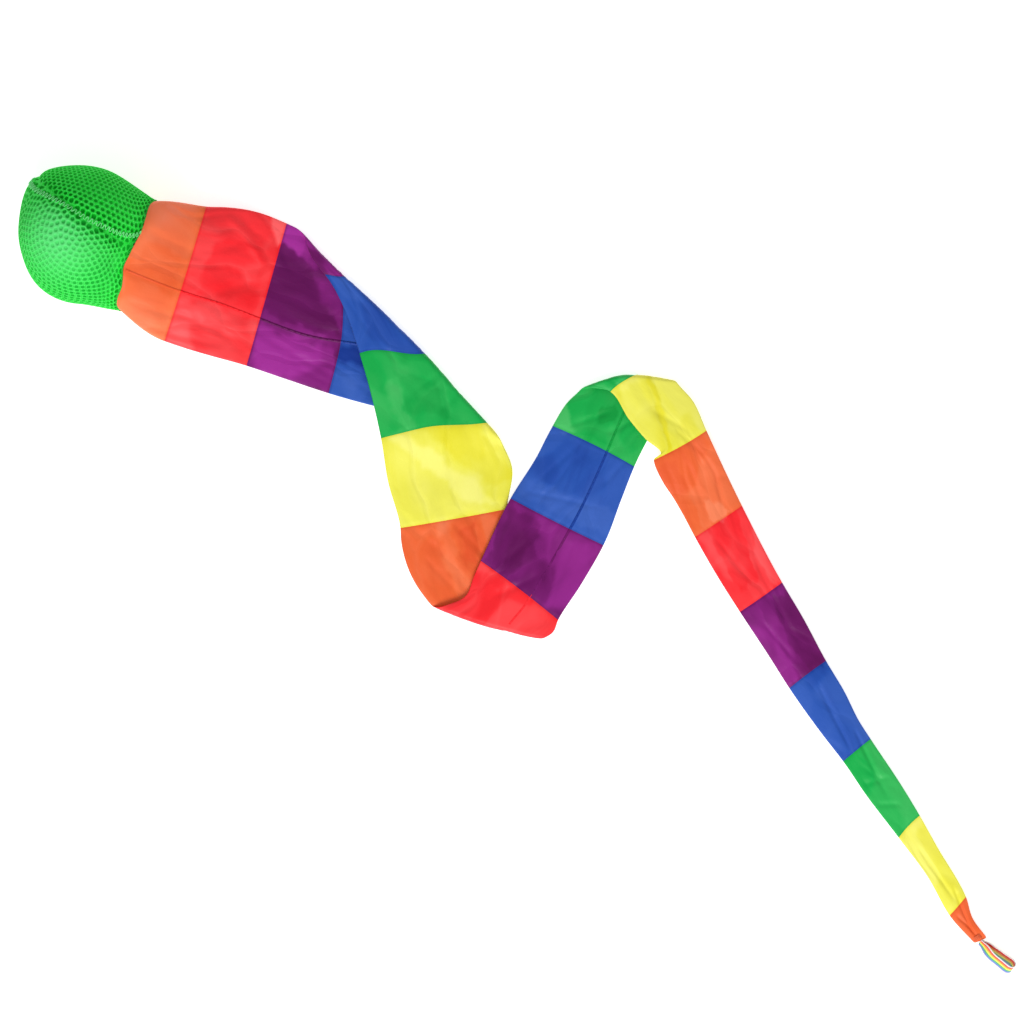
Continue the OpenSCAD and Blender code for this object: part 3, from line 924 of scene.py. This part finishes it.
def make_seams(tail):
    """The lengthwise seam: one strip for each body that it crosses."""
    def crossing(j):
        u = SEAM_PLACE * float(tail_half_width(START[j], j - 1))
        return START[j] - u / math.tan(half_turn(j))
    clear = 6.0
    first = seam_strip(tail, "lengthwise_seam_band_01", 0.5, BAND_END[1], True, True)
    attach(first, "ball")
    second = seam_strip(tail, "lengthwise_seam_band_02", BAND_END[1], BAND_END[2], True, True)
    ride_neck(second)
    limits = [BAND_END[2], crossing(1), crossing(2), crossing(3), BAND_END[BANDS] - 4]
    for g, letter in enumerate("abcd"):
        a = limits[g] + (clear if g else 0)
        b = limits[g + 1] - (clear if g < 3 else 0)
        obj = seam_strip(tail, f"lengthwise_seam_{letter}", a, b, g % 2 == 0, True)
        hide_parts(f"tail_seam_{letter}")
        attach(obj, f"tail_{letter}")


LOOP_HEADING = math.radians(-37)
LOOP_LEN, LOOP_HALF_GAP = 27.5, 3.3
RIBBON_W, RIBBON_T = 8.0, 0.5


def make_loop():
    """The striped ribbon loop: both ends in the tack, its faces leaning over so that the stripes show."""
    ahead = np.array([math.cos(LOOP_HEADING), math.sin(LOOP_HEADING), 0.0])
    left = np.array([-ahead[1], ahead[0], 0.0])
    up = np.array([0.0, 0.0, 1.0])
    origin = np.array([*PATH[4], 0.0]) + ahead * 0.9
    steps = 40
    half_path = []
    for i in range(steps + 1):
        a = (LOOP_LEN - LOOP_HALF_GAP) * i / steps
        half_path.append((a, 0.55 + (LOOP_HALF_GAP - 0.55) * smooth(a / 15.0) + 0.25 * math.sin(a / 3.2)))
    bight = []
    for i in range(1, 20):
        turn = math.pi * i / 20
        gap = half_path[-1][1]
        bight.append((LOOP_LEN - LOOP_HALF_GAP + 1.2 * LOOP_HALF_GAP * math.sin(turn), -gap * math.cos(turn)))
    route = [(a, -b) for a, b in half_path] + bight + [(a, b) for a, b in reversed(half_path)]
    points, cloth, faces = [], [], []
    length = 0.0
    across_steps = 12
    frames = []
    for i, (a, b) in enumerate(route):
        before, after = route[max(0, i - 1)], route[min(len(route) - 1, i + 1)]
        tangent = np.array([after[0] - before[0], after[1] - before[1]])
        tangent /= np.linalg.norm(tangent)
        lean = math.radians(54 - 14 * smooth(a / 16.0))
        wide = math.cos(lean) * up + math.sin(lean) * left
        cross = math.cos(lean) * left - math.sin(lean) * up
        face = -tangent[1] * ahead + tangent[0] * cross
        width = 4.4 + (RIBBON_W - 4.4) * smooth(a / 8.0)
        centre = origin + ahead * a + cross * b
        height = width / 2 * math.cos(lean) + LOOP_HALF_GAP * math.sin(lean) + 0.5
        centre = centre + up * (1.9 + (height - 1.9) * smooth(a / 9.0)) - left * 1.1 * smooth(a / 12.0)
        if i:
            length += float(np.linalg.norm(np.array(route[i]) - np.array(route[i - 1])))
        frames.append((centre, wide, face, width, length))
    for centre, wide, face, width, along in frames:
        ring = [(j / across_steps, 0.5) for j in range(across_steps + 1)]
        ring += [(j / across_steps, -0.5) for j in range(across_steps, -1, -1)]
        for x, side in ring:
            cup = 0.25 * math.sin(math.pi * x)
            points.append(centre + wide * (x - 0.5) * width + face * (side * RIBBON_T + cup))
            cloth.append((along * MM, x, 0.0))
    n = 2 * (across_steps + 1)
    for r in range(len(frames) - 1):
        for c in range(n):
            a, b = r * n + c, r * n + (c + 1) % n
            faces.append((a, b, b + n, a + n))
    faces.append(tuple(range(n)))
    faces.append(tuple(range((len(frames) - 1) * n, len(frames) * n)))
    obj = make_object("striped_ribbon_loop", points, faces, [RIBBON])
    bm = bmesh.new()
    bm.from_mesh(obj.data)
    bmesh.ops.recalc_face_normals(bm, faces=bm.faces)
    bm.to_mesh(obj.data)
    bm.free()
    set_vectors(obj, "cloth", cloth)
    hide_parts("loop_ribbon")
    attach(obj, "loop")


def make_tack():
    """The stitches that close the tip over the ribbon's ends."""
    ahead, left = np.array([*HEAD[3], 0.0]), np.array([-HEAD[3][1], HEAD[3][0], 0.0])
    centre = np.array([*PATH[4], LOW_MID]) - ahead * 2.2
    path = []
    for i in range(60):
        turn = 2 * math.pi * i / 12
        along = -1.6 + 3.0 * i / 60
        rise = np.array([0, 0, 1.45 * math.sin(turn)])
        path.append(centre + ahead * along + left * 2.9 * math.cos(turn) + rise)
    obj = tube("tip_stitches", path, 0.24, THREAD_ORANGE)
    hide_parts("tip_tack")
    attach(obj, "tail_d")


# ---------------------------------------------------------------- the ball

AXIS = np.array([*HEAD[0], 0.0])
LEFT = np.array([-HEAD[0][1], HEAD[0][0], 0.0])
UP = np.array([0.0, 0.0, 1.0])
SEAM_NORMAL = np.array([
    math.cos(SEAM_LEAN) * math.sin(SEAM_TURN), math.cos(SEAM_LEAN) * math.cos(SEAM_TURN), math.sin(SEAM_LEAN)
])
CELL = 4.2
VALLEY = 1.6
# The mouth's shift on the table, which the tail's first rows share
MOUTH_SHIFT = np.array([*MIDDLE_LINE[0][1:], 0.0])
# Where the soft cover bulges or is pushed in: direction along the neck and to its left, and height
BULGES = [(-0.85, 0.53, 4.2), (-0.80, -0.60, -2.8), (-1.0, -0.05, -2.0)]


def lateral_scale(x):
    """How far the cover is drawn out sideways and up at distance x along the neck's axis."""
    sphere = math.sqrt(max(BALL_R**2 - x * x, 1.0))
    mouth_a, reach = MOUTH_W / 2, MOUTH_REACH
    tangent = math.atan2(mouth_a, reach) + math.acos(BALL_R / math.hypot(mouth_a, reach))
    x_t, y_t = BALL_R * math.cos(tangent), BALL_R * math.sin(tangent)
    if x <= x_t:
        return 1.0, 1.0
    t = (x - x_t) / (reach - x_t)
    wide = y_t + (mouth_a - y_t) * t
    high = sphere + (MOUTH_H / 2 - sphere) * t**6
    return wide / sphere, high / sphere


def seam_slide(direction):
    """The direction with the cover slid sideways on top of the ball, so that its seam runs straight."""
    x, y, z = direction * BALL_R
    slide = -0.14 * x if x > 0 else 3.4 * math.sin(math.pi * min(-x, 42.0) / 42.0)
    slide *= smooth(z / 28.0) * math.exp(-(((y - 14.0) / 20.0) ** 2))
    moved = direction + np.array([0.0, slide / BALL_R, 0.0])
    return moved / np.linalg.norm(moved)


def cover_point(direction, depth=0.0):
    """A point of the cover in the row frame. direction is in the ball's frame: along the neck, left, up."""
    off = abs(float(direction @ SEAM_NORMAL) * BALL_R - SEAM_OFFSET)
    x, y, z = seam_slide(direction) * BALL_R
    a, b = lateral_scale(min(x, MOUTH_REACH))
    p = np.array([x, y * a, z * b])
    valley = 0.55 * math.exp(-((off / 1.2) ** 2)) + 0.45 * math.exp(-((off / 3.5) ** 2))
    sunk = depth * (1 - 0.4 * valley) + VALLEY * valley
    for ahead, left, height in BULGES:
        sunk -= height * math.exp((x / BALL_R * ahead + y / BALL_R * left - 1) / 0.09)
    p = p * (1 - sunk / np.linalg.norm(p))
    near_mouth = smooth((x - 12.0) / (MOUTH_REACH - 12.0))
    p[0] -= float(mouth_bow(y * a / (MOUTH_W / 2), z * b / (MOUTH_H / 2))) * near_mouth
    p = p * max(1.0, (CORE_R + 0.4) / np.linalg.norm(p))
    return BALL_CENTRE + p[0] * AXIS + p[1] * LEFT + p[2] * UP + MOUTH_SHIFT * near_mouth


def lattice():
    """Directions of the mesh's cells: a hexagonal grid wrapped over the ball from its top, and from below."""
    found = []
    row = CELL * math.sqrt(3) / 2
    n = int(BALL_R * math.pi / 2 / row) + 2
    for cap in (1, -1):
        for j in range(-n, n + 1):
            for i in range(-n - 4, n + 5):
                x, y = (i + 0.5 * (j % 2)) * CELL, j * row
                polar = math.hypot(x, y) / BALL_R
                if polar > math.pi / 2 - (0.045 if cap > 0 else 0.02):
                    continue
                azimuth = math.atan2(y, x)
                found.append([
                    math.sin(polar) * math.cos(azimuth), math.sin(polar) * math.sin(azimuth),
                    cap * math.cos(polar),
                ])
    return np.array(found)


def ring_lattice():
    """Directions of the mesh's cells in rings round the top of the ball."""
    row = CELL * math.sqrt(3) / 2 / BALL_R
    found = [[0.0, 0.0, 1.0]]
    for j in range(1, int(math.pi / row)):
        count = max(6, int(round(2 * math.pi * math.sin(j * row) * BALL_R / CELL)))
        for i in range(count):
            azimuth = 2 * math.pi * (i + 0.5 * (j % 2)) / count
            found.append([
                math.sin(j * row) * math.cos(azimuth),
                math.sin(j * row) * math.sin(azimuth),
                math.cos(j * row),
            ])
    return np.array(found)


def mirrored(seeds, axis, angle):
    """Seeds reflected in the circle that lies at an angle round an axis, so that cells end on that circle."""
    out = []
    for d in seeds:
        polar = math.acos(float(np.clip(d @ axis, -1, 1)))
        new = 2 * angle - polar
        if not 0.02 < new < math.pi - 0.02:
            continue
        side = d - axis * (d @ axis)
        side /= np.linalg.norm(side)
        out.append(axis * math.cos(new) + side * math.sin(new))
    return np.array(out).reshape(-1, 3)


def cells_of(seeds, count):
    """For each of the first count seeds, the ring of corner numbers of its cell; and all corners."""
    bm = bmesh.new()
    for d in seeds:
        bm.verts.new(d)
    bm.verts.ensure_lookup_table()
    bmesh.ops.convex_hull(bm, input=bm.verts)
    bm.faces.ensure_lookup_table()
    bm.faces.index_update()
    corners = np.array([
        f.normal if f.normal.dot(f.calc_center_median()) > 0 else -f.normal
        for f in bm.faces
    ])
    corners /= np.linalg.norm(corners, axis=1, keepdims=True)
    rings = []
    for i in range(count):
        d = seeds[i]
        ids = [f.index for f in bm.verts[i].link_faces]
        if len(ids) < 3:
            continue
        first = np.cross(d, [0.31, 0.52, 0.79])
        first /= np.linalg.norm(first)
        second = np.cross(d, first)
        offset = corners[ids] - d
        order = np.argsort(np.arctan2(offset @ second, offset @ first))
        rings.append((i, [ids[k] for k in order]))
    bm.free()
    return rings, corners


# A hole's wall from its rim inwards: share of the cell's radius, depth, and how far it is darkened as a hole,
# partly as painted shade
PROFILE = [(0.78, 0.10, 0.05), (0.64, 0.40, 0.35), (0.55, 1.0, 0.8), (0.47, 1.5, 1.0)]
RING_GROOVE = 0.9
# The direction round which the painted sheen is strongest
SHINE_FROM = np.array([-0.33, -0.16, 0.93])


def mesh_panel(name, side, node):
    """One panel of air mesh: each cell is a rounded hole with a raised rim and a floor."""
    axis = SEAM_NORMAL
    seam_angle = math.acos(SEAM_OFFSET / BALL_R)
    mouth_axis, mouth_angle = np.array([1.0, 0.0, 0.0]), math.acos(MOUTH_REACH / BALL_R)
    in_rings = side < 0
    seeds = ring_lattice() if in_rings else lattice()
    from_seam = (seam_angle - np.arccos(np.clip(seeds @ axis, -1, 1))) * side
    from_mouth = np.arccos(np.clip(seeds @ mouth_axis, -1, 1)) - mouth_angle
    clear = 1.0 / BALL_R
    kept = (from_seam > clear) & (from_mouth > clear)
    own, from_seam, from_mouth = seeds[kept], from_seam[kept] * BALL_R, from_mouth[kept] * BALL_R
    ghosts = [mirrored(own, axis, seam_angle), mirrored(own, mouth_axis, mouth_angle)]
    ghosts += [mirrored(ghosts[0], mouth_axis, mouth_angle)]
    everything = np.concatenate([own] + ghosts)
    rings, corners = cells_of(everything, len(own))
    tight = np.exp(-((np.minimum(from_seam, from_mouth) / 13.0) ** 2))
    # Painted sheen: strongest round that direction where the cloth lies loose, away from the seam and the mouth; a
    # tenth as strong on the small panel
    away = np.arccos(np.clip(own @ SHINE_FROM, -1, 1))
    lit = 0.12 + 0.88 * np.exp(-((away / 0.62) ** 2))
    painted_sheen = smooth(from_seam / 12.0) * smooth(from_mouth / 14.0) * lit
    painted_sheen = painted_sheen if in_rings else 0.1 * painted_sheen
    open_share = (0.40 if in_rings else 0.55) * (1 - tight) + tight
    points, hole_shades, shines, faces = [], [], [], []
    shared = {}

    def rim(key, direction, depth, shine, shade):
        if key not in shared:
            shared[key] = len(points)
            points.append(cover_point(direction, depth))
            # rims darkened as painted shade in the grooves between rings and where the ring panel is shaded
            hole_shades.append(max(0.9 * depth / RING_GROOVE, 0.45 * shade))
            shines.append(shine)
        return shared[key]

    for i, ids in rings:
        centre = own[i]
        n = len(ids)
        steep = smooth((math.acos(float(np.clip(centre[2], -1, 1))) - 0.35) / 0.35) * (1 - float(tight[i]))
        outline, keys, depths = [], [], []
        for a, b in zip(ids, ids[1:] + ids[:1]):
            middle = (corners[a] + corners[b]) / np.linalg.norm(corners[a] + corners[b])
            beside = in_rings and abs(middle[2] - centre[2]) < 0.012
            outline += [corners[a], middle]
            keys += [a, (min(a, b), max(a, b))]
            depths += [0.0, RING_GROOVE * steep if beside else 0.0]
        offsets = np.array(outline) - centre
        mean = float(np.linalg.norm(offsets, axis=1).mean())
        shine = float(painted_sheen[i])
        # painted shade: the ring panel is darker where its painted sheen is weak, less so near the seam and the
        # mouth
        shade = (1 - shine) * (1 - float(tight[i])) if in_rings else 0.0
        ring = [rim(key, d, depth, shine, shade) for key, d, depth in zip(keys, outline, depths)]
        lengths = np.linalg.norm(offsets, axis=1, keepdims=True)
        rounded = offsets / lengths * (0.45 * lengths + 0.55 * mean)
        for share, depth, hole_shade in PROFILE:
            inner = []
            for offset in rounded:
                d = centre + offset * share
                d = d / np.linalg.norm(d)
                inner.append(len(points))
                points.append(cover_point(d, depth * float(open_share[i])))
                # hole walls darker with depth: partly the inner layer, partly painted shade
                hole_shades.append(hole_shade * max(float(open_share[i]), 1.2 * shade))
                shines.append(shine)
            for k in range(2 * n):
                m = (k + 1) % (2 * n)
                faces.append((ring[k], ring[m], inner[m], inner[k]))
            ring = inner
        points.append(cover_point(centre, (PROFILE[-1][1] + 0.1) * float(open_share[i])))
        hole_shades.append(max(float(open_share[i]), 1.2 * shade))
        shines.append(shine)
        middle = len(points) - 1
        for k in range(2 * n):
            faces.append((ring[k], ring[(k + 1) % (2 * n)], middle))
    obj = make_object(name, points, faces, [AIR_MESH])
    set_values(obj, "hole_shade", hole_shades)
    set_values(obj, "shine", shines)
    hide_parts(node)
    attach(obj, "ball")
    return obj


def tube(name, path, radius, material, sides=6, closed=False):
    """A round thread along a path, with closed ends."""
    path = np.asarray(path, float)
    points, faces = [], []
    n = len(path)
    for i, p in enumerate(path):
        a = path[(i - 1) % n] if closed or i > 0 else p
        b = path[(i + 1) % n] if closed or i < n - 1 else p
        ahead = (b - a) / np.linalg.norm(b - a)
        across = np.cross(ahead, [0.02, 0.05, 1.0])
        across /= np.linalg.norm(across)
        over = np.cross(ahead, across)
        for k in range(sides):
            turn = 2 * math.pi * k / sides
            points.append(p + radius * (math.cos(turn) * across + math.sin(turn) * over))
    for i in range(n if closed else n - 1):
        for k in range(sides):
            a, b = i * sides + k, i * sides + (k + 1) % sides
            c, d = ((i + 1) % n) * sides + (k + 1) % sides, ((i + 1) % n) * sides + k
            faces.append((a, b, c, d))
    if not closed:
        faces.append(tuple(range(sides)))
        faces.append(tuple((n - 1) * sides + k for k in reversed(range(sides))))
    return make_object(name, points, faces, [material])


def seam_direction(turn, off):
    """A direction near the seam between the panels: turn goes round it, and off is a distance to its side."""
    radius = math.sqrt(BALL_R**2 - SEAM_OFFSET**2)
    across = np.cross(SEAM_NORMAL, [1.0, 0.0, 0.0])
    p = SEAM_NORMAL * (SEAM_OFFSET + off) + radius * (
        math.cos(turn) * np.array([1.0, 0, 0]) + math.sin(turn) * across
    )
    return p / np.linalg.norm(p)


def make_cover_seam():
    path = []
    first = math.acos(MOUTH_REACH / math.sqrt(BALL_R**2 - SEAM_OFFSET**2)) + 0.03
    stitches = 70
    for i in range(2 * stitches + 1):
        turn = first + (2 * math.pi - 2 * first) * i / (2 * stitches)
        off = 2.5 if i % 2 else -1.8
        for step in (-0.25, 0.25):
            t = turn + step * (math.pi - first) / stitches
            path.append(cover_point(seam_direction(t, off * (1 - abs(step))), -0.5))
    obj = tube("cover_seam_zigzag", path, 0.32, THREAD)
    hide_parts("cover_seam_thread")
    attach(obj, "ball")


def make_mouth_seam():
    """The row of overlocked loops that joins the mesh to the first band."""
    path = []
    loops = 78
    for i in range(loops * 6):
        turn = 2 * math.pi * i / (loops * 6)
        phase = 2 * math.pi * i / 6
        bow = float(mouth_bow(math.cos(turn), math.sin(turn)))
        x = MOUTH_REACH - bow - 0.7 + 0.6 * math.cos(phase)
        p = np.array([x, (MOUTH_W / 2 + 0.1) * math.cos(turn), (MOUTH_H / 2 + 0.1) * math.sin(turn)])
        p[1:] += 0.25 * math.sin(phase) * np.array([math.cos(turn), math.sin(turn)])
        path.append(BALL_CENTRE + p[0] * AXIS + p[1] * LEFT + p[2] * UP + MOUTH_SHIFT)
    obj = tube("mouth_seam_loops", path, 0.18, THREAD_MOUTH, closed=True)
    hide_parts("mouth_seam_thread")
    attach(obj, "ball")


def make_ball():
    mesh_panel("mesh_panel_large", -1, "cover_panel_large")
    mesh_panel("mesh_panel_small", 1, "cover_panel_small")
    make_cover_seam()
    make_mouth_seam()
    core = frame["nodes"]["core_ball"]
    core.data.materials.clear()
    core.data.materials.append(RUBBER)


# ---------------------------------------------------------------- scene


def make_camera():
    """A long lens high above the middle of the object, looking straight down."""
    camera = bpy.data.objects.new("camera", bpy.data.cameras.new("camera"))
    bpy.context.scene.collection.objects.link(camera)
    camera.data.lens = 600
    camera.data.sensor_width = 36
    camera.data.clip_end = 40
    camera.location = (0.2847, -0.184, 11.379)
    bpy.context.scene.camera = camera


def make_light(name, place, size, power, target=(0.28, -0.2, 0.0), colour=(1, 1, 1)):
    lamp = bpy.data.lights.new(name, "AREA")
    lamp.size = size
    lamp.energy = power
    lamp.color = colour
    obj = bpy.data.objects.new(name, lamp)
    obj.location = place
    obj.rotation_euler = (Vector(target) - Vector(place)).to_track_quat("-Z", "Y").to_euler()
    bpy.context.scene.collection.objects.link(obj)


def make_studio():
    world = bpy.data.worlds.new("studio")
    bpy.context.scene.world = world
    world.use_nodes = True
    world.node_tree.nodes["Background"].inputs["Color"].default_value = (1, 1, 1, 1)
    world.node_tree.nodes["Background"].inputs["Strength"].default_value = 0.56
    make_light("key", (0.0, -2.2, 1.9), 1.2, 62)
    floor = make_object(
        "floor", [(-4000, -4000, 0), (4000, -4000, 0), (4000, 4000, 0), (-4000, 4000, 0)], [(0, 1, 2, 3)], []
    )
    m, t, p = nodes_of("studio_floor")
    p.inputs["Base Color"].default_value = (0.85, 0.85, 0.85, 1)
    p.inputs["Roughness"].default_value = 0.9
    p.inputs["Emission Color"].default_value = (1, 1, 1, 1)
    p.inputs["Emission Strength"].default_value = 0.62
    floor.data.materials.append(m)
    bpy.context.scene.view_settings.view_transform = "Standard"


make_camera()
make_studio()
tail_cloth = make_tail()
make_seams(tail_cloth)
make_tack()
make_loop()
make_ball()
